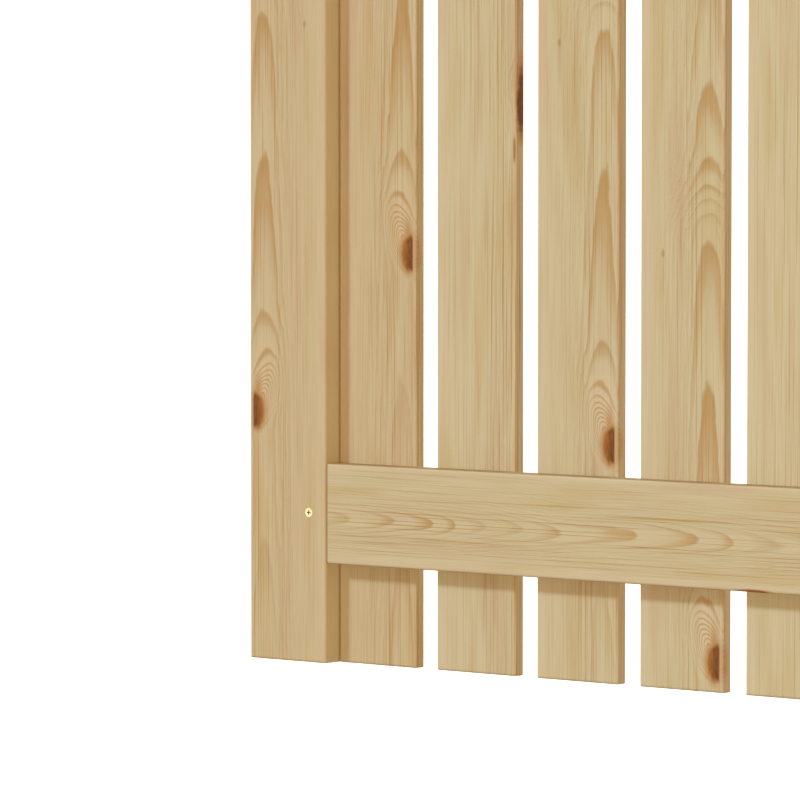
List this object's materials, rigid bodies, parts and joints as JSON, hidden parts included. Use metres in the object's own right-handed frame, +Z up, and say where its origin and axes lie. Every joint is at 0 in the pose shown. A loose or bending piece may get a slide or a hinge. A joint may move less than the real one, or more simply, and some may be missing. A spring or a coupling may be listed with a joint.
{
  "type": "garden gate",
  "caption": "Pine garden gate leaf of upright pickets on two rails between stiles, hung on lift-off strap hinges, with a slide bolt.",
  "frame": {"origin": "centre of the lower hinge plate's four fixing holes, on the plate's back face, which lies on the post's front face", "axes": "+X across the gate from the latch side to the hinge side, +Y from the gate's front to its back, +Z up along the pickets"},
  "size_m": [1.1021, 0.0892, 1.2],
  "materials": {
    "pine": "planed, unfinished pine with a satin surface",
    "galvanised": "hot-dip galvanised, dull",
    "yellow_zinc": "yellow zinc plated",
    "brass_ring": "turned, satin"
  },
  "bodies": {
    "post_hinges": {"lower_hinge_plate": "galvanised", "upper_hinge_plate": "galvanised", "lower_hinge_pin": "galvanised", "upper_hinge_pin": "galvanised", "lower_bearing_ring": "brass_ring", "upper_bearing_ring": "brass_ring"},
    "leaf": {"left_stile": "pine", "right_stile": "pine", "bottom_rail": "pine", "top_rail": "pine", "picket_1": "pine", "picket_2": "pine", "picket_3": "pine", "picket_4": "pine", "picket_5": "pine", "picket_6": "pine", "picket_7": "pine", "bottom_rail_screws": "yellow_zinc", "top_rail_screws": "yellow_zinc", "tenon_screws": "yellow_zinc", "lower_hinge_strap": "galvanised", "upper_hinge_strap": "galvanised", "lower_carriage_bolt": "galvanised", "upper_carriage_bolt": "galvanised", "hinge_washers": "galvanised", "hinge_nuts": "galvanised", "lower_strap_screws": "galvanised", "upper_strap_screws": "galvanised", "latch_plate": "galvanised", "latch_sleeve": "galvanised", "latch_screws": "galvanised"},
    "slide_bolt": {"latch_bolt": "galvanised", "latch_knob": "galvanised"}
  },
  "joints": [
    {"name": "leaf_swing", "type": "hinge", "parent": "post_hinges", "child": "leaf", "pos_m": [-0.03708, -0.01308, 0], "axis": [0, 0, 1], "range_deg": [0, 165]},
    {"name": "bolt_slide", "type": "slide", "parent": "leaf", "child": "slide_bolt", "axis": [1, 0, 0], "range_m": [0, 0.032]}
  ]
}
